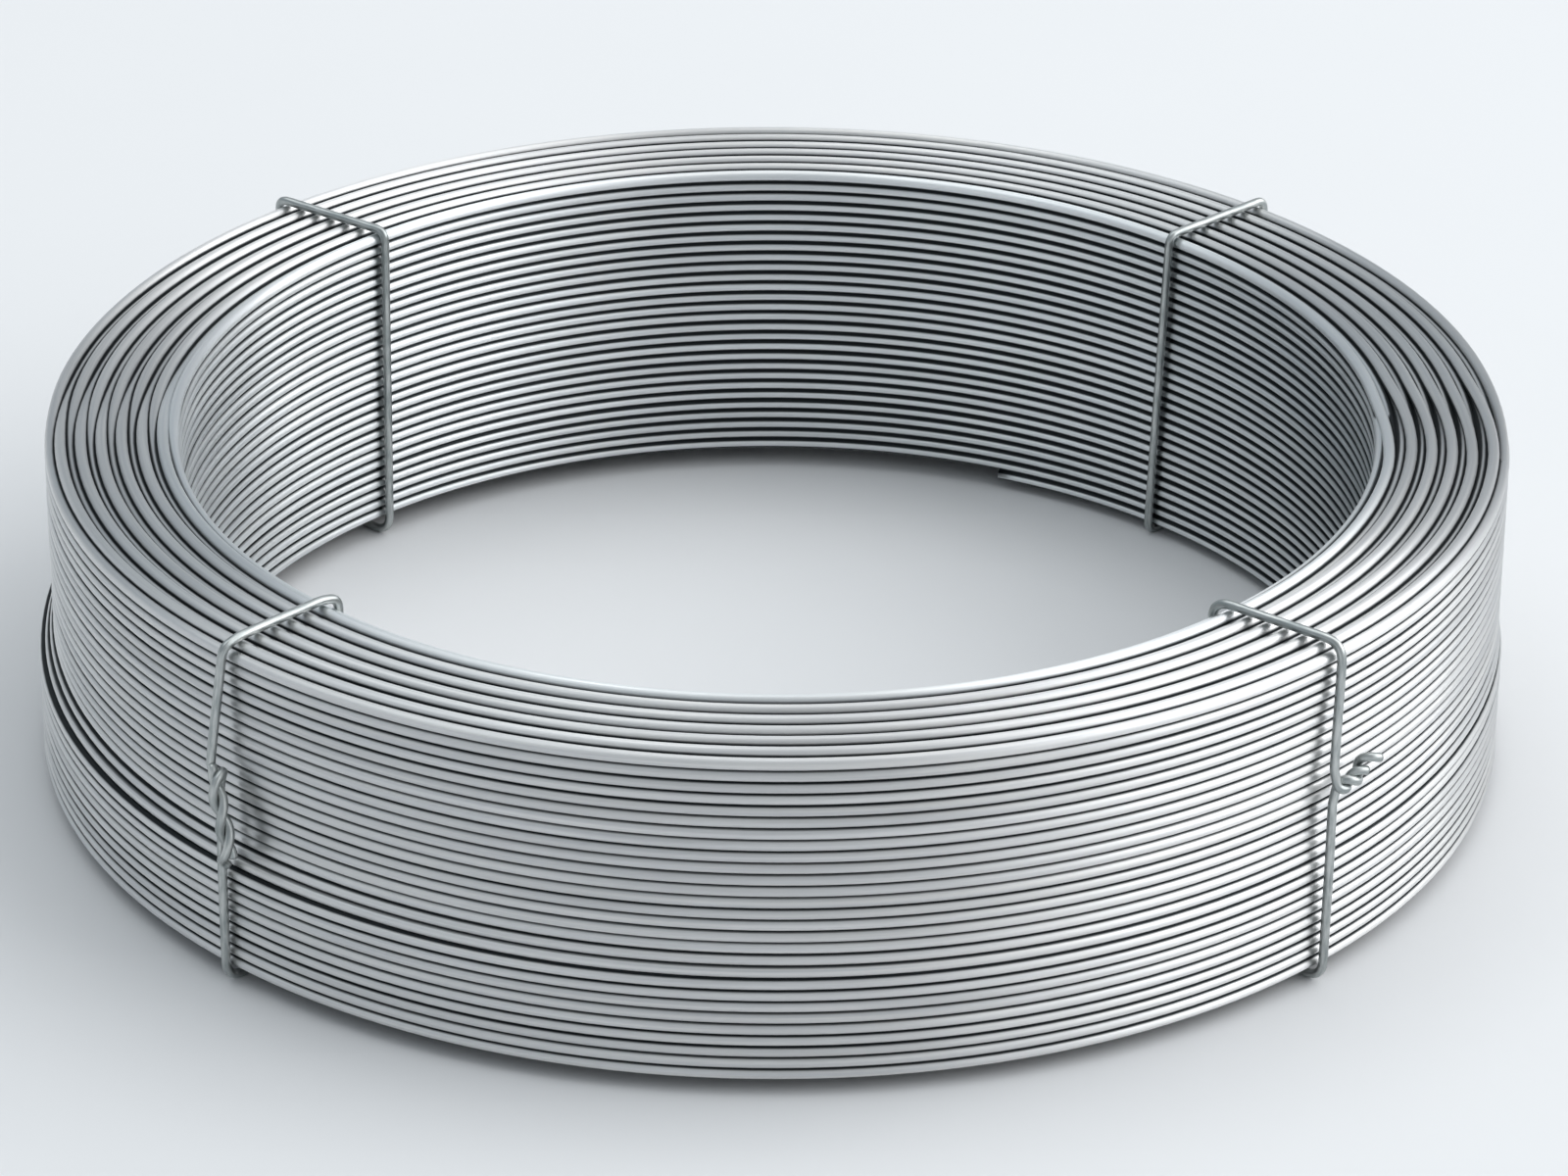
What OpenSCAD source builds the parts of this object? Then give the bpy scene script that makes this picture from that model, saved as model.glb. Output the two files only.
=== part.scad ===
// A compact coil of drawn steel wire that lies flat, bound with four hand-twisted wire ties.
// The frame has +Z up. Its origin is on the floor, on the axis of the coil's eye.

/* [Wire] */
// Thickness of the coiled wire
wire_d = 3.2; // [2.4:0.1:5]
// Slack between neighbouring turns of a layer
slack = 0.05; // [0.02:0.01:0.2]

/* [Winding] */
// Diameter of the eye, between the innermost turns
eye_d = 327; // [220:1:600]
// Number of layers between the eye and the outer wall
layers = 13; // [7:2:17]
// Number of turns in the longer layers; the ones between them have a turn fewer
turns = 29; // [20:1:40]
// Turns in the lower part of the winding, which is wound looser and so stands out from the rest
low_turns = 9; // [4:1:10]
// How much larger the radius of the outer wall is in that lower part
low_swell = 2.8; // [0:0.1:4]
// How far that lower part of the outer wall sits off to one side
low_shift = 2; // [0:0.1:3]
// Direction in which it sits off, in degrees from +X
low_bearing = 141; // [100:1:180]
// Bearing of the wire's free end, at the foot of the eye
end_bearing = 66; // [58:1:75]
// Part of a circle that the last, lowest turn of the eye goes round
end_sweep = 290; // [270:1:300]

/* [Ties] */
// Bearing of the front left tie, in degrees from +X
front_left_bearing = -134; // [-145:1:-125]
// Bearing of the front right tie
front_right_bearing = -46; // [-55:1:-35]
// Bearing of the back left tie
back_left_bearing = 137; // [125:1:145]
// Bearing of the back right tie
back_right_bearing = 45; // [35:1:52]
// Thickness of the tie wire
tie_d = 2.5; // [1.6:0.1:3]
// Radius to which the tie wire bends at its corners
tie_bend = 4; // [3:0.1:4.5]
// Clearance between a tie and the crests of the turns
tie_gap = 0.25; // [0.1:0.05:0.4]
// Length of the twist where a tie's two ends are wound together
twist_len = 24; // [18:1:28]
// Length of the front right tie's twist, which was cut shorter
short_twist_len = 12; // [9:1:18]
// Length of twist in which the two ends go once round each other
twist_lead = 12; // [9:1:16]

/* [Hidden] */
$fn = 48;

// Nested winding: a layer's turns are pressed into the valleys of the layer before, half a pitch up or
// down, with a quarter of the slack between them.
pitch = wire_d + slack;
layer_step = sqrt(pow(wire_d + slack / 4, 2) - pow(pitch / 2, 2));
wire_r = wire_d / 2;
first_r = eye_d / 2 + wire_r;
last_r = first_r + (layers - 1) * layer_step;
coil_r = last_r + wire_r;

// Thickness of the tie wire in its bends, and the length by which a straight strand laps a bend
bend_d = tie_d * 1.03;
bend_lap = tie_d * 0.08;

// The coil rests on the lower strands of its ties.
base_z = bend_d + tie_gap;
first_z = base_z + wire_r;
coil_top = first_z + (turns - 1) * pitch + wire_r;

// The solid inside of the winding reaches a little past the centre lines of the turns in the two walls.
// At the ends it fills the valleys to just past the lines on which the turns of two layers touch.
core_lap = wire_r * 0.3;
end_lap = pitch * 0.3;

// Layers count from the eye, from zero. The even ones, both walls among them, have a turn fewer, and
// so they start half a pitch up and end half a pitch short.
function short_layer(layer) = layer % 2 == 0;
function last_turn(layer) = short_layer(layer) ? turns - 2 : turns - 1;
function turn_z(layer, turn) = first_z + (turn + (short_layer(layer) ? 0.5 : 0)) * pitch;
function layer_r(layer) = first_r + layer * layer_step;

// Where the core starts, and where the lower part of the winding ends
foot_z = turn_z(0, 0) - end_lap;
middle_z = turn_z(0, low_turns) - pitch / 2;
low_middle_r = low_r((layers - 1) / 2);

// In the lower part each layer is a little larger and further off to the side than the one inside it.
function low_share(layer) = layer / (layers - 1);
function low_offset(layer) = low_share(layer) * low_shift * [cos(low_bearing), sin(low_bearing), 0];
function low_r(layer) = layer_r(layer) + low_share(layer) * low_swell;

// How far the lower part of the outer wall stands out, or is set back, on a given bearing
function low_reach(bearing) = low_swell + low_shift * cos(bearing - low_bearing);

// One turn's section in the plane that holds the coil's axis. Twelve sides keep the many turns light,
// with corners where the wire is widest and highest.
module wire_section(radius, height) {
    translate([radius, height]) circle(d = wire_d, $fn = 12);
}

module core_section(inner, outer, bottom, top) {
    translate([inner, bottom]) square([outer - inner, top - bottom]);
}

// The part above the lower one: its two walls, its open end and its core, all round the coil's axis.
// The first layer is wound straight up from the foot, so its lower turns are among these.
module upper_section() {
    core_section(first_r - core_lap, last_r + core_lap, middle_z, turn_z(0, last_turn(0)) + end_lap);
    core_section(first_r - core_lap, low_middle_r + low_shift, foot_z, middle_z + pitch / 2);
    for (turn = [1 : last_turn(0)]) wire_section(layer_r(0), turn_z(0, turn));
    for (turn = [low_turns : last_turn(0)]) wire_section(last_r, turn_z(0, turn));
    for (layer = [1 : layers - 2]) wire_section(layer_r(layer), turn_z(layer, last_turn(layer)));
}

// The outer wall and the outer half of the core in the lower part
module lower_section() {
    core_section(low_middle_r, low_r(layers - 1) + core_lap, foot_z, middle_z);
    for (turn = [0 : low_turns - 1]) wire_section(low_r(layers - 1), turn_z(0, turn));
}

// The wire comes in at the foot of the eye, so the lowest turn of the first layer is not a whole one.
module end_turn() {
    rotate([0, 0, end_bearing - end_sweep])
        rotate_extrude(angle = end_sweep) wire_section(first_r, turn_z(0, 0));
}

module wire_coil() {
    color([0.72, 0.74, 0.75]) {
        rotate_extrude() upper_section();
        translate(low_offset(layers - 1)) rotate_extrude() lower_section();
        for (layer = [1 : layers - 2])
            translate(low_offset(layer)) rotate_extrude() wire_section(low_r(layer), turn_z(layer, 0));
        end_turn();
    }
}

// A planar loop of round wire through the given corners, each rounded to the bend radius.
// The loop runs clockwise, so that every bend turns to the right.
function unit(v) = v / norm(v);
function bend_at(before, at, after) = acos(unit(at - before) * unit(after - at));
function trim(before, at, after) = tie_bend * tan(bend_at(before, at, after) / 2);

// The wire is a hair thicker in its bends, and a strand reaches a little way into the bend at each end.
module strand(start, end) {
    run = end - start;
    from = start - unit(run) * bend_lap;
    translate([from.x, from.y, 0])
        rotate([0, 90, atan2(run.y, run.x)])
            cylinder(d = tie_d, h = norm(run) + 2 * bend_lap);
}

module elbow(before, at, after) {
    way = unit(at - before);
    bend = bend_at(before, at, after);
    start = at - way * trim(before, at, after);
    centre = start + tie_bend * [way.y, -way.x];
    translate([centre.x, centre.y, 0])
        rotate([0, 0, atan2(way.x, -way.y) - bend])
            rotate_extrude(angle = bend)
                translate([tie_bend, 0]) circle(d = bend_d);
}

module wire_loop(corners) {
    n = len(corners);
    for (i = [0 : n - 1]) {
        before = corners[(i + n - 1) % n];
        at = corners[i];
        after = corners[(i + 1) % n];
        beyond = corners[(i + 2) % n];
        way = unit(after - at);
        elbow(before, at, after);
        strand(at + way * trim(before, at, after), after - way * trim(at, after, beyond));
    }
}

// The tie's two ends, wound round each other and cut off. The twist starts at the origin and runs up Z.
module twisted_ends(length) {
    steps = ceil(12 * length / twist_lead);
    linear_extrude(height = length, twist = -360 * length / twist_lead, slices = steps, $fn = 8)
        for (side = [-1, 1])
            translate([side * tie_d * 0.46, 0]) circle(d = tie_d, $fn = 8);
}

// A tie in the frame of its own bearing: X runs out from the coil's axis, Y round the coil.
// Its outer strand stands off the wall at the knot, by bow. The twist lies beside the strand, turned
// from straight down by the angle lay.
module tie(bearing, knot_height, bow, lay, length) {
    reach = low_reach(bearing);
    off = tie_gap + tie_d / 2;
    inside = eye_d / 2 - off;
    top = coil_top + off;
    foot = bend_d / 2;
    knot_x = coil_r + max(0, reach) + off + bow;
    foot_x = coil_r + max(-bow / 2, reach) + off;
    color([0.62, 0.64, 0.64])
        rotate([0, 0, bearing]) {
            rotate([90, 0, 0])
                wire_loop([[inside, foot], [inside, top], [coil_r + off, top],
                           [knot_x, knot_height], [foot_x, foot]]);
            translate([knot_x + tie_d * 0.3, tie_d * 0.75, knot_height])
                sphere(d = tie_d * 2);
            translate([knot_x + tie_d / 2, tie_d * 1.6, knot_height])
                rotate([180 + lay, 0, 0])
                    twisted_ends(length);
        }
}

module tie_front_left() tie(front_left_bearing, coil_top * 0.62, 1, 10, twist_len);
module tie_front_right() tie(front_right_bearing, coil_top * 0.56, 2.5, 96, short_twist_len);
module tie_back_left() tie(back_left_bearing, coil_top * 0.55, 1.5, 40, twist_len);
module tie_back_right() tie(back_right_bearing, coil_top * 0.58, 2, 25, twist_len);

wire_coil();
tie_front_left();
tie_front_right();
tie_back_left();
tie_back_right();
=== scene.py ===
"""Looks for a compact coil of bright drawn steel wire, bound with four hand-twisted wire ties.

Lengths are worked out in millimetres, in the frame of the CAD part, and written to Blender in metres.
Bearings are degrees from +X, counter-clockwise seen from above. The viewer stands at bearing -90.
"""
import math

import bpy
import numpy as np
from mathutils import Matrix, Vector


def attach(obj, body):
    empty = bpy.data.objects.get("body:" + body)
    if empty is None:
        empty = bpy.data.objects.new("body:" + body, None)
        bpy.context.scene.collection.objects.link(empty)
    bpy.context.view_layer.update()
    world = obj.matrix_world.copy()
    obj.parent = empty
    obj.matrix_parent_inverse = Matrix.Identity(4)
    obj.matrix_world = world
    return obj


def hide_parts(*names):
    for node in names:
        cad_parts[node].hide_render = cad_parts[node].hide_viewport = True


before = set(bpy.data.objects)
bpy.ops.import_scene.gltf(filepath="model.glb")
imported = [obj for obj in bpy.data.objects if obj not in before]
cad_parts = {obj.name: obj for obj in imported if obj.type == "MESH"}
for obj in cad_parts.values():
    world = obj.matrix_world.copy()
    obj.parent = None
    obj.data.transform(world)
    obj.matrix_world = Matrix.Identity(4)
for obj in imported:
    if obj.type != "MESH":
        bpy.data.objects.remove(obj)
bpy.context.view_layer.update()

MM = 0.001
HALF_TURN = 180

# Driving sizes of the winding and its ties, as in the part's source
WIRE_D = 3.2
SLACK = 0.05
EYE_D = 327
LAYERS = 13
TURNS = 29
LOW_LEVELS = 9
LOW_SWELL = 2.8
LOW_SHIFT = 2.0
LOW_BEARING = 141
END_BEARING = 66
TIE_D = 2.5
TIE_GAP = 0.25

# Values worked out from them
WIRE_R = WIRE_D / 2
TIE_R = TIE_D / 2
BEND_D = TIE_D * 1.03
PITCH = WIRE_D + SLACK
LAYER_STEP = math.sqrt((WIRE_D + SLACK / 4) ** 2 - (PITCH / 2) ** 2)
FIRST_R = EYE_D / 2 + WIRE_R
LAST_LAYER = LAYERS - 1
LAST_R = FIRST_R + LAST_LAYER * LAYER_STEP
COIL_R = LAST_R + WIRE_R
FIRST_Z = BEND_D + TIE_GAP + WIRE_R
TOP_LEVEL = TURNS - 1
COIL_TOP = FIRST_Z + TOP_LEVEL * PITCH + WIRE_R

# Fineness of the meshes
SEGMENTS_PER_TURN = 180
SIDES = 12


def smooth(x):
    """Smooth step from 0 to 1."""
    x = np.clip(x, 0, 1)
    return x * x * (3 - 2 * x)


def slow_noise(rng, length, knots, spread):
    """Smooth random curve with a knot every so many samples."""
    count = max(4, int(length / knots) + 4)
    values = rng.uniform(-spread, spread, count)
    at = np.linspace(0, count - 1.001, length)
    low = at.astype(int)
    return values[low] + (values[np.minimum(low + 1, count - 1)] - values[low]) * smooth(at - low)


# The winding. The wire runs clockwise seen from above. Each turn is level over the front half and over
# the back half of the ring, and steps up or down by half a pitch between them, so that a layer's turns
# lie in the valleys of the layer before. A place on the route is a number of half turns: the whole part
# is even on the front half and odd on the back half, and the steps lie at the whole numbers.

# Arc over which the wire steps, and how far the steps scatter round the ring, in degrees
STEP_ARC = 17
STEP_SCATTER = 5
TOP_SCATTER = 2
# How far the wire bulges where it crosses to the next layer, wanders in and out, and sags
CROSS_BULGE = 0.45
WANDER = 0.10
SAG = 0.05
# The lower part of the outer wall steps back over three turns: half turns past its end, and share
LEDGE_STEPS = ((0, 0.4), (2, 0.35), (4, 0.25))
LEDGE_RUN = 0.08
# Where the lower part and the last turn end, in degrees clockwise from bearing 0
LOW_END = 44
LAST_END = 10
# Arc over which the last turn eases down, and the share of its thickness that it loses there
TUCK_ARC = 32
TUCK_TAPER = 0.15
# How much the tone of one wire differs from another's, and how much the width of the painted shade lines
# between the turns varies
TONE_SPREAD = 0.3
SHADE_LINE_SPREAD = 0.08
# How far off level a turn touches the nearest turns of the next layer, in degrees
VALLEY_TILT = 30
# Half turns that a length of wire runs on out of sight at its ends
HIDDEN_RUN = 0.15
# Half turn on which the wire crosses from layer to layer at the top
TOP_CROSS = 2 * TOP_LEVEL


def bearing_of(place):
    return -HALF_TURN * place


def held(place, value_at, centres, arc):
    """A value that is constant on each half turn, with smooth steps between them, and how far into a
    step each place is: 0 where the value is constant and 1 in the middle of a step."""
    step = np.round(place).astype(int)
    first = step.min()
    late = centres[step - first]
    blend = smooth((place - step - late) * HALF_TURN / arc + 0.5)
    values = np.array([value_at(k) for k in range(first - 2, step.max() + 2)], float)
    before = values[step - 1 - (first - 2)]
    after = values[step - (first - 2)]
    return before + (after - before) * blend, blend * (1 - blend) * 4


def route(name, start, stop, level_at, layer_at, low_until=None, lean=0.0, seed=0, tuck=0.0):
    """One length of wire, as a ring for each step along it. The level and the layer are given by half
    turn. The wire is wound looser as far as the place low_until, and wanders in and out by the share
    lean. Over its last degrees, tuck, it eases down until its end is hidden in the turn below it."""
    rng = np.random.default_rng(seed)
    count = int(round((stop - start) / 2 * SEGMENTS_PER_TURN)) + 1
    place = np.linspace(start, stop, count)
    steps = int(round(stop) - round(start)) + 2
    scatter = TOP_SCATTER if name == "top" else STEP_SCATTER
    centres = rng.uniform(-1, 1, steps) * scatter / HALF_TURN
    level, _ = held(place, level_at, centres, STEP_ARC)
    layer, crossing = held(place, layer_at, centres, STEP_ARC)
    changes = np.abs(np.array([layer_at(int(k)) - layer_at(int(k) - 1) for k in np.round(place)]))
    way = np.where(level > TOP_LEVEL / 2, 1, -1)
    wander = slow_noise(rng, count, SEGMENTS_PER_TURN / 5, WANDER)
    sag = slow_noise(rng, count, SEGMENTS_PER_TURN / 4, SAG)
    bearing = np.radians(bearing_of(place))
    height = FIRST_Z + level * PITCH + crossing * changes * way * CROSS_BULGE + sag
    low = np.zeros(count)
    if low_until is not None:
        for late, share in LEDGE_STEPS:
            low += share * (1 - smooth((place - low_until - late) / LEDGE_RUN + 0.5))
    low *= layer / LAST_LAYER
    radius = FIRST_R + layer * LAYER_STEP + LOW_SWELL * low + (wander - WANDER) * lean
    shift = LOW_SHIFT * low
    tucked = smooth((place - stop) * HALF_TURN / tuck + 1) if tuck else np.zeros(count)
    height -= 0.5 * PITCH * tucked
    return {
        "name": name,
        "bearing": bearing,
        "thick": WIRE_R * (1 - TUCK_TAPER * tucked)[:, None],
        "radius": radius,
        "height": height,
        "dx": shift * math.cos(math.radians(LOW_BEARING)),
        "dy": shift * math.sin(math.radians(LOW_BEARING)),
        "level": level,
        "tone": slow_noise(rng, count, SEGMENTS_PER_TURN / 3, 1.0) + rng.uniform(-TONE_SPREAD, TONE_SPREAD),
        # Width of the painted shade lines between the turns
        "gap": shade_line_width(name, bearing, level) + slow_noise(rng, count, SEGMENTS_PER_TURN / 2, SHADE_LINE_SPREAD),
    }


def near(bearing, middle):
    """How near a place on the ring is to a bearing, from 1 there to 0 a quarter turn away."""
    return np.maximum(np.cos(bearing - math.radians(middle)), 0) ** 2


def shade_line_width(name, bearing, level):
    """How wide the painted shade lines between the turns are. Their width changes round the ring with how
    the light falls: they are widest at the back of the top, at the far left and in the lower part of the
    outer wall, and deep down at the back of the eye."""
    if name == "top":
        return 1.08 + 0.08 * np.sin(bearing)
    if name == "outer":
        low = smooth((LOW_LEVELS + 1 - level) / 2)
        return 0.99 - 0.09 * near(bearing, -125) + 0.07 * near(bearing, 175) + 0.06 * low
    if name == "inner":
        deep = (1 - level / TOP_LEVEL) * near(bearing, 80)
        return 0.88 + 0.14 * np.cos(bearing - math.radians(40)) + 0.18 * deep
    return np.ones_like(bearing)


def rising_level(k):
    """Level on half turn k of a layer that climbs from the floor, in pitches."""
    return 0.5 + 0.5 * k


def top_level(k):
    """Level near the top end: up to the highest turn, across to the next layer and down again."""
    last = TOP_CROSS - 1
    return rising_level(k) if k <= last else TOP_LEVEL - 0.5 * max(0, k - last - 1)


def foot_level(k):
    """Level near the foot: down to the lowest turn, across to the next layer and up again."""
    return 0.5 * (k - 1) if k >= 1 else -0.5 * k


def outer_level(k):
    """Level of the outer wall, whose last turn stays level to its end."""
    return min(foot_level(k), TOP_LEVEL)


def top_layer(first):
    """Layer on half turn k: the wire crosses from one layer to the next at the top."""
    return lambda k: first if k < TOP_CROSS else first + 1


def foot_layer(first):
    """Layer on half turn k: the wire crosses from one layer to the next at the foot."""
    return lambda k: first if k < 1 else first + 1


def low_reach(bearing):
    """How far the lower part of the outer wall stands out on a bearing."""
    return LOW_SWELL + LOW_SHIFT * math.cos(math.radians(bearing - LOW_BEARING))


def winding_routes():
    """All the wire that shows: the two walls, and the end turns of the layers between them."""
    free_end = -END_BEARING / HALF_TURN
    low_end = 2 * LOW_LEVELS + 2 + LOW_END / HALF_TURN
    last_end = TOP_CROSS + 2 + LAST_END / HALF_TURN
    inner = route("inner", free_end, TOP_CROSS + 2 + HIDDEN_RUN, top_level, top_layer(0),
                  lean=0.5, seed=1)
    outer = route("outer", -1 - HIDDEN_RUN, last_end, outer_level, foot_layer(LAST_LAYER - 1),
                  low_end, lean=1.0, seed=2, tuck=TUCK_ARC)
    top = [
        route("top", TOP_CROSS - 4 - HIDDEN_RUN, TOP_CROSS + 4 + HIDDEN_RUN, top_level, top_layer(k),
              seed=k + 10)
        for k in range(2, LAST_LAYER, 2)
    ]
    foot = [
        route("foot", -1 - HIDDEN_RUN, 3 + HIDDEN_RUN, foot_level, foot_layer(k), low_end, seed=k + 30)
        for k in range(1, LAST_LAYER - 1, 2)
    ]
    return inner, outer, top, foot


def facing(angle, contact):
    """How nearly a side of the wire faces the place where it touches its neighbour, from 0 to 1."""
    return np.maximum(np.cos(np.radians(angle - contact)), 0)


def contacts(wire, angles):
    """How nearly each side of each ring faces a turn that it touches, from 0 to 1. Angles are counted
    from straight out, and upwards. Turns of one layer touch from above and below. A turn of the next
    layer touches on the side nearer to the end of the coil, or on its other side at the very end."""
    level = wire["level"]
    upper = level > TOP_LEVEL / 2
    at_top = np.clip((level - (TOP_LEVEL - 0.5)) * 2, 0, 1)
    at_foot = np.clip((0.5 - level) * 2, 0, 1)
    tilt = np.where(upper, VALLEY_TILT * (1 - 2 * at_top), -VALLEY_TILT * (1 - 2 * at_foot))
    touch = facing(angles, -90) * np.ones((len(level), 1))
    if wire["name"] in ("inner", "outer"):
        below_top = (level < TOP_LEVEL - 0.6)[:, None]
        touch = np.maximum(touch, facing(angles, 90) * below_top)
    if wire["name"] != "outer":
        touch = np.maximum(touch, facing(angles, tilt[:, None]))
    if wire["name"] != "inner":
        touch = np.maximum(touch, facing(angles, 180 - tilt[:, None]))
    return touch


def tube_faces(count, base=0):
    """The quads between so many rings of vertices, the first of which starts at the vertex base."""
    ring = np.arange(count - 1)[:, None] * SIDES + base
    side = np.arange(SIDES)[None]
    after = (side + 1) % SIDES
    corners = [ring + side, ring + SIDES + side, ring + SIDES + after, ring + after]
    return np.stack(corners, -1).reshape(-1, 4)


def new_object(name, verts, faces, material, caps=()):
    """A smooth-shaded mesh object from millimetre vertices."""
    mesh = bpy.data.meshes.new(name)
    mesh.from_pydata((verts * MM).tolist(), [], [*faces.tolist(), *caps])
    mesh.update()
    mesh.shade_smooth()
    mesh.materials.append(material)
    piece = bpy.data.objects.new(name, mesh)
    bpy.context.scene.collection.objects.link(piece)
    return piece


def add_attribute(piece, name, kind, values):
    layer = piece.data.attributes.new(name, kind, "POINT")
    field = "vector" if kind == "FLOAT_VECTOR" else "value"
    layer.data.foreach_set(field, np.ascontiguousarray(values, np.float32).reshape(-1))


def wire_piece(name, routes, material):
    """Round wire along the routes, with closed ends, as one piece that stands for the turned solid."""
    verts, faces, caps, draw, crease_shade, tone = [], [], [], [], [], []
    angles = np.arange(SIDES) * 360.0 / SIDES
    cos, sin = np.cos(np.radians(angles)), np.sin(np.radians(angles))
    base = 0
    for wire in routes:
        count = len(wire["bearing"])
        reach = wire["radius"][:, None] + wire["thick"] * cos
        x = reach * np.cos(wire["bearing"])[:, None] + wire["dx"][:, None]
        y = reach * np.sin(wire["bearing"])[:, None] + wire["dy"][:, None]
        z = wire["height"][:, None] + wire["thick"] * sin
        verts.append(np.stack([x, y, z], -1).reshape(-1, 3))
        along = -wire["bearing"][:, None] * wire["radius"].mean()
        draw.append(np.stack(np.broadcast_arrays(along, cos * WIRE_R, sin * WIRE_R), -1).reshape(-1, 3))
        # Painted shade: how strongly each side is darkened where it faces a turn that it touches
        crease_shade.append((contacts(wire, angles) * wire["gap"][:, None]).reshape(-1))
        tone.append(np.repeat(wire["tone"], SIDES))
        faces.append(tube_faces(count, base))
        last = base + (count - 1) * SIDES
        caps.append([base + k for k in range(SIDES)])
        caps.append([last + k for k in reversed(range(SIDES))])
        base += count * SIDES
    piece = new_object(name, np.concatenate(verts), np.concatenate(faces), material, caps)
    add_attribute(piece, "draw", "FLOAT_VECTOR", np.concatenate(draw))
    add_attribute(piece, "crease_shade", "FLOAT", np.concatenate(crease_shade))
    add_attribute(piece, "tone", "FLOAT", np.concatenate(tone))
    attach(piece, "root")
    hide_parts("wire_coil")
    return piece


# Height by which the two levels of the core overlap
CORE_LAP = 0.5


def core_piece(material):
    """The hidden turns, as one ring in two levels that reaches the middle of the turns that show, made near
    black with painted shade.
    """
    segments = SEGMENTS_PER_TURN
    around = np.radians(np.arange(segments) * 360 / segments)
    foot = FIRST_Z + 0.5 * PITCH
    split = FIRST_Z + (LOW_LEVELS - 1.5) * PITCH
    head = FIRST_Z + (TOP_LEVEL - 1.5) * PITCH
    aside = math.radians(LOW_BEARING)
    verts, faces = [], []
    for low, high, swell, shift in ((foot, split, LOW_SWELL, LOW_SHIFT), (split - CORE_LAP, head, 0, 0)):
        base = sum(len(v) for v in verts)
        for radius, z, moved in ((FIRST_R, low, 0), (LAST_R + swell, low, shift),
                                 (LAST_R + swell, high, shift), (FIRST_R, high, 0)):
            verts.append(np.stack([radius * np.cos(around) + moved * math.cos(aside),
                                   radius * np.sin(around) + moved * math.sin(aside),
                                   np.full(segments, z)], -1))
        for corner in range(4):
            here = base + corner * segments
            beyond = base + (corner + 1) % 4 * segments
            k = np.arange(segments)
            after = (k + 1) % segments
            faces.append(np.stack([here + k, here + after, beyond + after, beyond + k], -1))
    piece = new_object("winding_core", np.concatenate(verts), np.concatenate(faces), material)
    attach(piece, "root")
    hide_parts("wire_coil")
    return piece


# The ties. Each is one length of soft wire, worked out in the frame of its own bearing: x runs out from
# the coil's axis, y round the coil counter-clockwise, and z up.

# Distances between the points of the loop, of the twist and of the finished line
LOOP_SPACING = 0.7
TWIST_SPACING = 0.45
LINE_SPACING = 0.6
# Points in a bend, and the share of a side that it may take up
BEND_POINTS = 9
BEND_ROOM = 0.48
# Times that the finished line is eased
EASE_PASSES = 5
# Length of the twist's free end over which its strands open
OPEN_LENGTH = 6
# Radii to which the wire bends at its knot, over the ledge of the lower part and where it is pulled down
KNOT_BEND = 3
LEDGE_BEND = 6
PULLED_BEND = 6
# Share of the lower part's reach by which it pushes the knot out
KNOT_PUSH = 0.6
# Length of strand that comes straight up into the knot
KNOT_LEAD = 5

# The four ties. The knot has a height, a stand-off and a sideways place. The strand over the coil leaves
# it by the points over, and the twist follows the points axis, both counted from the knot. The sideways
# places and the bends are those of the outer top, inner top, inner foot and outer foot. Lead is the
# length in which the strands go once round each other, phase where they start, loose how far they open
# at the end, and cut how many points shorter one of them is. With a drop, the top strand is pulled down
# by that much at both ends, over the lower turns there.
TIES = {
    "tie_front_left": {
        "bearing": -134, "knot": (64, 0.8, 0), "over": [(1.0, -2.4, -1.0), (0.6, -2.0, 5)],
        "axis": [(0.6, 0.3, 0), (2.8, 1.0, -3), (3.0, 4.0, -13), (2.6, 5.5, -22), (1.9, 3.0, -29)],
        "sideways": (0, 0, 0, 0), "bends": (3, 3.5, 5.5, 5.5),
        "lead": 17, "phase": 0.4, "loose": 1.2, "cut": 12, "drop": 1.3,
    },
    "tie_front_right": {
        "bearing": -46, "knot": (59, 1.2, 3.0), "over": [(0, 0, 5)],
        "axis": [(0.6, 0.8, 0), (2.0, 2.2, 0.3), (1.8, 5.5, 0.6), (1.2, 10, 2.4), (0.9, 13.0, 5.0)],
        "sideways": (6, 0, 0, 3.5), "bends": (5.5, 5.5, 5.5, 5.5),
        "lead": 9, "phase": 1.2, "loose": 1.6, "cut": 10,
    },
    "tie_back_left": {
        "bearing": 137, "knot": (54, 1.5, -3), "over": [(0, 0, 5)],
        "axis": [(0.6, 0.8, 0), (3.2, 2.0, -1.0), (3.0, 7.0, -6), (1.6, 17.0, -18)],
        "sideways": (-1, -6, -5, -3), "bends": (3, 3, 6, 3),
        "lead": 11, "phase": 2.0, "loose": 0.6, "cut": 6,
    },
    "tie_back_right": {
        "bearing": 45, "knot": (57, 2.0, 1), "over": [(0, 0, 5)],
        "axis": [(0.6, 0.8, 0), (3.2, 1.8, -1.5), (3.0, 5.0, -8), (1.6, 11.0, -23)],
        "sideways": (0, 1.5, 6, 3), "bends": (3, 3, 3, 3),
        "lead": 11, "phase": 0.9, "loose": 0.5, "cut": 6,
    },
}


def run_along(line):
    """Distance from the start of a line to each of its points."""
    return np.concatenate([[0], np.cumsum(np.linalg.norm(np.diff(line, axis=0), axis=1))])


def rounded(points, bends, spacing):
    """The line through the points, each corner rounded to its own radius, as evenly spaced points."""
    points = [np.array(p, float) for p in points]
    line = [points[0]]
    for before, at, after, bend in zip(points, points[1:], points[2:], bends):
        way_in = (at - before) / np.linalg.norm(at - before)
        way_out = (after - at) / np.linalg.norm(after - at)
        turn = math.acos(float(np.clip(way_in @ way_out, -1, 1)))
        room = BEND_ROOM * min(np.linalg.norm(at - before), np.linalg.norm(after - at))
        trim = min(bend * math.tan(turn / 2), room)
        start, end = at - way_in * trim, at + way_out * trim
        for t in np.linspace(0, 1, BEND_POINTS):
            line.append((1 - t) ** 2 * start + 2 * t * (1 - t) * at + t * t * end)
    line.append(points[-1])
    return resample(np.array(line), spacing)


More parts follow.
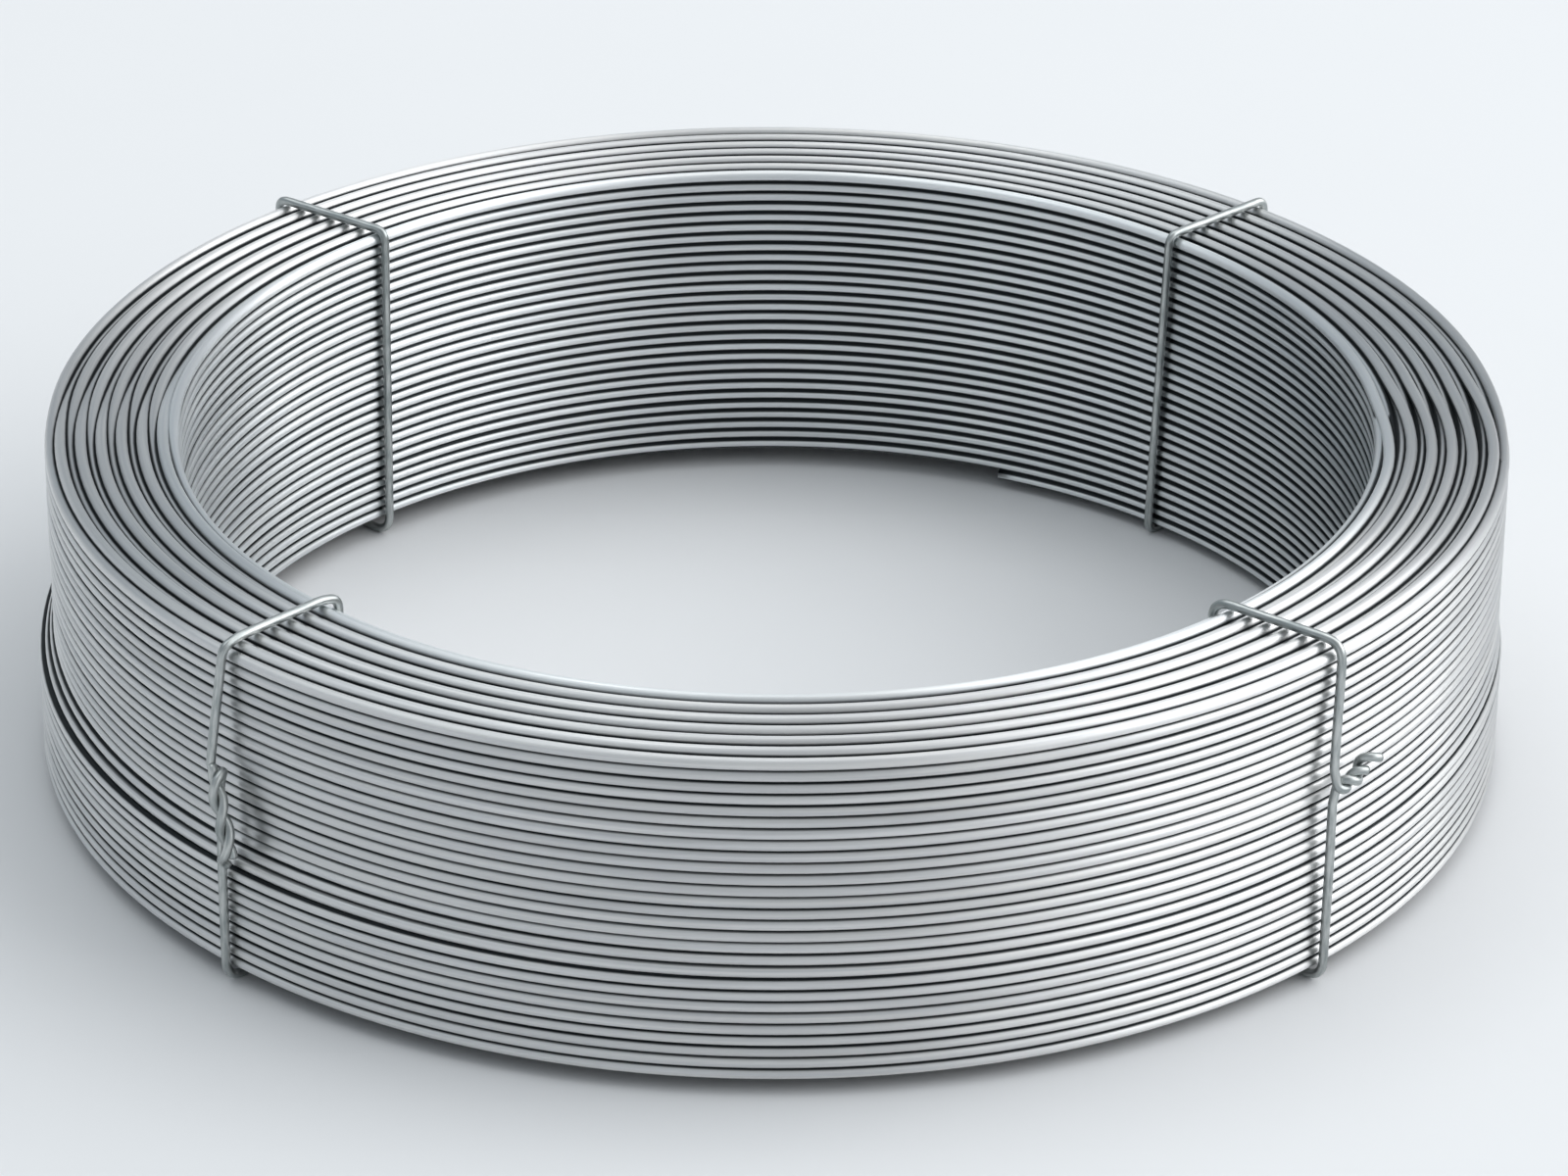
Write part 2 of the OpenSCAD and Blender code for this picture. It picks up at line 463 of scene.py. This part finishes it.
def resample(line, spacing):
    """The same line as evenly spaced points."""
    step = np.linalg.norm(np.diff(line, axis=0), axis=1)
    line = line[np.concatenate([[True], step > 1e-6])]
    run = run_along(line)
    at = np.linspace(0, run[-1], max(2, int(round(run[-1] / spacing)) + 1))
    return np.stack([np.interp(at, run, line[:, k]) for k in range(3)], -1)


def eased(line):
    """The line with its kinks eased, its ends kept."""
    for _ in range(EASE_PASSES):
        line = np.concatenate([line[:1], (line[:-2] + 2 * line[1:-1] + line[2:]) / 4, line[-1:]])
    return line


def carried_frames(line):
    """Two unit vectors across the line at each point, carried along it without twisting."""
    tangent = np.gradient(line, axis=0)
    tangent /= np.linalg.norm(tangent, axis=1)[:, None]
    side = np.cross(tangent[0], [0.3, 0.9, 0.2])
    sides = []
    for t in tangent:
        side = side - t * (side @ t)
        side = side / np.linalg.norm(side)
        sides.append(side)
    sides = np.array(sides)
    return sides, np.cross(tangent, sides)


def twisted_pair(axis, lead, phase, loose):
    """Two strands wound round the axis, opening a little towards its free end."""
    side, other = carried_frames(axis)
    run = run_along(axis)
    angle = phase + 2 * math.pi * run / lead
    open_by = TIE_R * 1.02 + loose * smooth((run - run[-1] + OPEN_LENGTH) / OPEN_LENGTH)
    pair = []
    for half in (0, math.pi):
        pair.append(axis + open_by[:, None] * (np.cos(angle + half)[:, None] * side
                                               + np.sin(angle + half)[:, None] * other))
    return pair


def tie_line(corners, bends, axis_points, lead, phase, loose, cut):
    """The whole tie as one line: tail, twist, round the winding's section, twist, tail."""
    axis = rounded(axis_points, [KNOT_BEND] * len(axis_points), TWIST_SPACING)
    first, second = twisted_pair(axis, lead, phase, loose)
    first = first[: len(first) - cut]
    loop = rounded([first[0], *corners, second[0]], bends, LOOP_SPACING)
    line = np.concatenate([first[::-1], loop[1:-1], second])
    return resample(eased(resample(line, TWIST_SPACING)), LINE_SPACING)


def tube_piece(name, line, bearing, material):
    """Tie wire along a line in a tie's own frame, as the piece that stands for the node of that name."""
    turn = math.radians(bearing)
    out = np.array([math.cos(turn), math.sin(turn), 0])
    along = np.array([-math.sin(turn), math.cos(turn), 0])
    line = line[:, :1] * out + line[:, 1:2] * along + line[:, 2:] * np.array([0, 0, 1.0])
    side, other = carried_frames(line)
    angles = np.arange(SIDES) * 2 * math.pi / SIDES
    ring = TIE_R * (np.cos(angles)[:, None] * side[:, None] + np.sin(angles)[:, None] * other[:, None])
    verts = (line[:, None] + ring).reshape(-1, 3)
    faces = tube_faces(len(line))[:, [0, 3, 2, 1]]
    last = (len(line) - 1) * SIDES
    caps = [[k for k in reversed(range(SIDES))], [last + k for k in range(SIDES)]]
    piece = new_object(name, verts, faces, material, caps)
    run = run_along(line)[:, None]
    draw = np.stack(np.broadcast_arrays(run, TIE_R * np.cos(angles), TIE_R * np.sin(angles)), -1)
    add_attribute(piece, "draw", "FLOAT_VECTOR", draw.reshape(-1, 3))
    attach(piece, "root")
    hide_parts(name)
    return piece


def tie_piece(name, material, bearing, knot, over, axis, sideways, bends, lead, phase, loose, cut,
              drop=0):
    """One tie, from its entry in TIES."""
    reach = low_reach(bearing)
    off = TIE_GAP + TIE_R
    inside = EYE_D / 2 - off
    outside = COIL_R + off
    top = COIL_TOP + off
    foot = BEND_D / 2
    ledge_z = FIRST_Z + (LOW_LEVELS + 0.5) * PITCH
    height, bow, aside = knot
    knot_x = outside + KNOT_PUSH * reach + bow
    at = np.array([knot_x, aside, height])
    pulled = [(LAST_R - LAYER_STEP, sideways[0], top), (FIRST_R + LAYER_STEP, sideways[1], top)]
    corners = [
        *(at + p for p in np.array(over, float)),
        (outside, sideways[0], top - drop),
        *(pulled if drop else []),
        (inside, sideways[1], top - drop),
        (inside, sideways[2], foot),
        (outside + reach, sideways[3], foot),
        (max(outside + reach, knot_x), aside, ledge_z),
        at - [0, 0, KNOT_LEAD],
    ]
    pulled_bends = [PULLED_BEND, PULLED_BEND] if drop else []
    radii = [KNOT_BEND] * len(over) + [bends[0], *pulled_bends, *bends[1:], LEDGE_BEND, KNOT_BEND]
    line = tie_line(corners, radii, [at + p for p in np.array(axis, float)], lead, phase, loose, cut)
    return tube_piece(name, line, bearing, material)


# Materials

BLACK = (0, 0, 0, 1)
# Painted shade: the near-black colour that the wire takes where turns touch
CREASE_SHADE_COLOUR = (0.012, 0.018, 0.022, 1)


def node_tree(material):
    material.use_nodes = True
    tree = material.node_tree
    tree.nodes.clear()
    out = tree.nodes.new("ShaderNodeOutputMaterial")
    shader = tree.nodes.new("ShaderNodeBsdfPrincipled")
    tree.links.new(shader.outputs["BSDF"], out.inputs["Surface"])
    return tree, shader


def add(tree, kind, inputs=None, **settings):
    """A node with its settings, and its inputs set to numbers or linked to other nodes' outputs."""
    node = tree.nodes.new(kind)
    for key, value in settings.items():
        setattr(node, key, value)
    for key, value in (inputs or {}).items():
        socket = node.inputs[key]
        if isinstance(value, bpy.types.NodeSocket):
            tree.links.new(value, socket)
        else:
            socket.default_value = value
    return node


def attribute(tree, name, output):
    return add(tree, "ShaderNodeAttribute", attribute_name=name).outputs[output]


def noise(tree, vector, scale, detail, roughness=0.5):
    return add(tree, "ShaderNodeTexNoise",
               {"Vector": vector, "Scale": scale, "Detail": detail, "Roughness": roughness}).outputs["Fac"]


def drawn_noise(tree, scales, detail, roughness=0.5):
    """Noise in millimetres along and across the wire, stretched by a scale for each."""
    draw = attribute(tree, "draw", "Vector")
    stretched = add(tree, "ShaderNodeVectorMath", {0: draw, 1: scales}, operation="MULTIPLY").outputs[0]
    return noise(tree, stretched, 1.0, detail, roughness)


def remap(tree, value, low, high, to_low, to_high):
    return add(tree, "ShaderNodeMapRange", {"Value": value, "From Min": low, "From Max": high,
                                            "To Min": to_low, "To Max": to_high}).outputs["Result"]


def math_node(tree, operation, a, b):
    return add(tree, "ShaderNodeMath", {0: a, 1: b}, operation=operation).outputs[0]


def mixed(tree, factor, a, b, blend_type="MIX"):
    """Two colours mixed, multiplied or added."""
    return add(tree, "ShaderNodeMix", {0: factor, 6: a, 7: b},
               data_type="RGBA", blend_type=blend_type).outputs[2]


def drawn_steel(name, dull, bright, shade_from, shade_to):
    """Bright drawn wire: fine lines along it, blurred across, and painted shade where turns touch, from one
    share of facing the neighbour to another."""
    material = bpy.data.materials.new(name)
    tree, shader = node_tree(material)
    crease_shade = attribute(tree, "crease_shade", "Fac")
    tone = attribute(tree, "tone", "Fac")
    fine = drawn_noise(tree, (0.012, 1.1, 1.1), 2.0)
    lines = drawn_noise(tree, (0.02, 2.2, 2.2), 1.0)
    patch = drawn_noise(tree, (0.02, 0.25, 0.25), 2.0)
    colour = mixed(tree, remap(tree, fine, 0.3, 0.7, 0.0, 1.0), dull, bright)
    toned = math_node(tree, "MULTIPLY", remap(tree, tone, -1.3, 1.3, 0.90, 1.04),
                      remap(tree, patch, 0.3, 0.7, 0.95, 1.03))
    grey = add(tree, "ShaderNodeCombineColor", {0: toned, 1: toned, 2: toned}).outputs[0]
    lit = mixed(tree, 1.0, colour, grey, "MULTIPLY")
    # Painted shade: the base colour darkens to near black where a side faces a turn that it touches
    dark = remap(tree, crease_shade, shade_from, shade_to, 0.0, 0.96)
    tree.links.new(mixed(tree, dark, lit, CREASE_SHADE_COLOUR), shader.inputs["Base Color"])
    rough = math_node(tree, "ADD", remap(tree, lines, 0.3, 0.7, 0.38, 0.46),
                      remap(tree, crease_shade, 0.6, 1.0, 0.0, 0.25))
    tree.links.new(rough, shader.inputs["Roughness"])
    shader.inputs["Metallic"].default_value = 1.0
    shader.inputs["Anisotropic"].default_value = 0.95
    shader.inputs["Anisotropic Rotation"].default_value = 0.25
    tangent = add(tree, "ShaderNodeTangent", direction_type="RADIAL", axis="Z")
    tree.links.new(tangent.outputs[0], shader.inputs["Tangent"])
    bump = add(tree, "ShaderNodeBump", {"Strength": 0.05, "Distance": 0.00005, "Height": lines})
    tree.links.new(bump.outputs[0], shader.inputs["Normal"])
    return material


def soft_wire():
    """Duller annealed tie wire, with faint blotches."""
    material = bpy.data.materials.new("soft_wire")
    tree, shader = node_tree(material)
    lines = drawn_noise(tree, (0.05, 5.0, 5.0), 3.0, 0.6)
    blotch = drawn_noise(tree, (0.12, 0.8, 0.8), 3.0, 0.6)
    colour = mixed(tree, remap(tree, blotch, 0.35, 0.65, 0.0, 1.0),
                   (0.30, 0.33, 0.33, 1), (0.54, 0.56, 0.55, 1))
    tree.links.new(colour, shader.inputs["Base Color"])
    tree.links.new(remap(tree, lines, 0.3, 0.7, 0.28, 0.42), shader.inputs["Roughness"])
    shader.inputs["Metallic"].default_value = 1.0
    bump = add(tree, "ShaderNodeBump", {"Strength": 0.15, "Distance": 0.00005, "Height": lines})
    tree.links.new(bump.outputs[0], shader.inputs["Normal"])
    return material


def painted_shade_gap():
    """What shows between the turns: the hidden wire, given a near-black colour as painted shade."""
    material = bpy.data.materials.new("painted_shade_gap")
    tree, shader = node_tree(material)
    place = add(tree, "ShaderNodeTexCoord").outputs["Object"]
    blotch = noise(tree, place, 60.0, 3.0)
    colour = mixed(tree, blotch, (0.010, 0.014, 0.017, 1), (0.030, 0.036, 0.040, 1))
    tree.links.new(colour, shader.inputs["Base Color"])
    tree.links.new(remap(tree, blotch, 0.3, 0.7, 0.45, 0.6), shader.inputs["Roughness"])
    return material


# Stage, light and camera

# Radius of the floor in metres, shares of it between which it fades out, and how even its colour is
FLOOR_R = 3.0
FLOOR_FADE = (0.45, 0.95)
FLOOR_COLOUR = (0.74, 0.75, 0.76, 1)
FLOOR_EVENNESS = 0.985
BACKGROUND_COLOUR = (0.80, 0.82, 0.84, 1)

# The world's light on the left and on the right
WORLD_LEFT = (0.40, 0.45, 0.49, 1)
WORLD_RIGHT = (0.52, 0.54, 0.56, 1)
# Glows in the world: a broad one low on the right, a small one overhead and a faint one behind it.
# Each has a direction, the cosines between which it grows, and the colour that it adds.
GLOWS = (
    ((0.94, -0.05, 0.34), 0.45, 0.90, (0.98, 0.99, 1.00, 1)),
    ((-0.38, 0.20, 0.90), 0.88, 0.99, (1.15, 1.17, 1.17, 1)),
    ((0.0, 0.34, 0.94), 0.70, 0.98, (0.16, 0.16, 0.16, 1)),
)
# Sines of the elevations between which the plain background gives way to that light
BACKGROUND_RIM = (0.10, 0.16)

# Lamps: bearing, elevation, distance, width and height in metres, and power in watts
LAMPS = {
    "key": (0, 30, 4.0, 4.4, 3.2, 68),
    "top": (60, 74, 1.9, 1.6, 1.0, 6),
}
LAMP_AIM = Vector((0, 0, 0.05))

# The camera, fitted to the coil's outlines in the photograph
FOCAL_PX = 6382.2
FRAME_W = 1600
SENSOR_W = 36
ELEVATION = 26.945
DISTANCE = 1760.0
ROLL = 0.393
TARGET = (2.16, 18.85, 32.07)


def pale_floor():
    """Pale matt floor that fades into the background at its rim."""
    material = bpy.data.materials.new("pale_floor")
    tree, shader = node_tree(material)
    place = add(tree, "ShaderNodeTexCoord").outputs["Object"]
    darker = (*(c * FLOOR_EVENNESS for c in FLOOR_COLOUR[:3]), 1)
    colour = mixed(tree, noise(tree, place, 8.0, 2.0), FLOOR_COLOUR, darker)
    tree.links.new(colour, shader.inputs["Base Color"])
    shader.inputs["Roughness"].default_value = 0.9
    shader.inputs["Specular IOR Level"].default_value = 0.1
    reach = add(tree, "ShaderNodeVectorMath", {0: place}, operation="LENGTH").outputs["Value"]
    fade = remap(tree, reach, FLOOR_R * FLOOR_FADE[0], FLOOR_R * FLOOR_FADE[1], 0.0, 1.0)
    clear = add(tree, "ShaderNodeBsdfTransparent")
    mix = add(tree, "ShaderNodeMixShader", {0: fade, 1: shader.outputs[0], 2: clear.outputs[0]})
    out = next(n for n in tree.nodes if n.bl_idname == "ShaderNodeOutputMaterial")
    tree.links.new(mix.outputs[0], out.inputs["Surface"])
    return material


def make_floor():
    segments = 96
    around = [2 * math.pi * k / segments for k in range(segments)]
    mesh = bpy.data.meshes.new("floor")
    mesh.from_pydata([(FLOOR_R * math.cos(a), FLOOR_R * math.sin(a), 0) for a in around], [],
                     [list(range(segments))])
    mesh.materials.append(pale_floor())
    floor = bpy.data.objects.new("floor", mesh)
    bpy.context.scene.collection.objects.link(floor)


def towards(tree, way, direction, start, end):
    """How nearly a direction points one way, eased from 0 to 1 between two cosines."""
    aim = Vector(direction).normalized()
    cosine = add(tree, "ShaderNodeVectorMath", {0: way, 1: aim}, operation="DOT_PRODUCT").outputs["Value"]
    return add(tree, "ShaderNodeMapRange", {"Value": cosine, "From Min": start, "From Max": end},
               interpolation_type="SMOOTHSTEP").outputs["Result"]


def make_world():
    """Soft light, stronger from the right than from the left, over a plain pale background that reaches
    a little above the horizon. The camera and the metal see the same one."""
    world = bpy.data.worlds.new("studio")
    bpy.context.scene.world = world
    world.use_nodes = True
    tree = world.node_tree
    tree.nodes.clear()
    out = tree.nodes.new("ShaderNodeOutputWorld")
    way = add(tree, "ShaderNodeTexCoord").outputs["Generated"]
    tint = mixed(tree, towards(tree, way, (0.97, -0.20, 0.15), -0.9, 0.9), WORLD_LEFT, WORLD_RIGHT)
    for direction, start, end, colour in GLOWS:
        glow = mixed(tree, towards(tree, way, direction, start, end), BLACK, colour)
        tint = mixed(tree, 1.0, tint, glow, "ADD")
    tint = mixed(tree, towards(tree, way, (0, 0, 1), *BACKGROUND_RIM), BACKGROUND_COLOUR, tint)
    light = add(tree, "ShaderNodeBackground", {"Color": tint, "Strength": 1.0})
    tree.links.new(light.outputs[0], out.inputs["Surface"])


def soft_box(name, bearing, elevation, distance, width, height, power):
    """An area lamp that faces the coil."""
    lamp = bpy.data.lights.new(name, "AREA")
    lamp.shape = "RECTANGLE"
    lamp.size, lamp.size_y = width, height
    lamp.energy = power
    b, e = math.radians(bearing), math.radians(elevation)
    back = Vector((math.cos(b) * math.cos(e), math.sin(b) * math.cos(e), math.sin(e)))
    thing = bpy.data.objects.new(name, lamp)
    thing.location = back * distance + LAMP_AIM
    thing.rotation_euler = back.to_track_quat("Z", "Y").to_euler()
    bpy.context.scene.collection.objects.link(thing)


def make_camera():
    e, roll = math.radians(ELEVATION), math.radians(ROLL)
    ahead = Vector((0, math.cos(e), -math.sin(e)))
    right = Vector((1, 0, 0))
    up = right.cross(ahead)
    right_rolled = math.cos(roll) * right + math.sin(roll) * up
    up_rolled = -math.sin(roll) * right + math.cos(roll) * up
    data = bpy.data.cameras.new("camera")
    data.sensor_width = SENSOR_W
    data.lens = FOCAL_PX / FRAME_W * SENSOR_W
    data.clip_start, data.clip_end = 0.05, 50
    camera = bpy.data.objects.new("camera", data)
    turned = Matrix((right_rolled, up_rolled, -ahead)).transposed().to_4x4()
    place = (Vector(TARGET) - DISTANCE * ahead) * MM
    camera.matrix_world = Matrix.Translation(place) @ turned
    bpy.context.scene.collection.objects.link(camera)
    bpy.context.scene.camera = camera


def main():
    # The eye's copy of the steel has painted light: it is brighter and a little bluer than the outer one,
    # and its painted shade between the turns starts sooner.
    steel = drawn_steel("drawn_steel", (0.70, 0.71, 0.72, 1), (0.81, 0.81, 0.80, 1), 0.64, 0.86)
    eye_steel_painted_light = drawn_steel("drawn_steel_eye_painted_light", (0.82, 0.85, 0.87, 1), (0.93, 0.95, 0.95, 1), 0.44, 0.70)
    soft, gap = soft_wire(), painted_shade_gap()
    inner, outer, top, foot = winding_routes()
    wire_piece("turns_inner_wall", [inner], eye_steel_painted_light)
    wire_piece("turns_outer_wall", [outer], steel)
    wire_piece("turns_top", top, steel)
    wire_piece("turns_foot", foot, steel)
    core_piece(gap)
    for name, shape in TIES.items():
        tie_piece(name, soft, **shape)
    make_floor()
    make_world()
    for name, lamp in LAMPS.items():
        soft_box(name, *lamp)
    make_camera()
    bpy.context.scene.view_settings.view_transform = "Standard"


main()
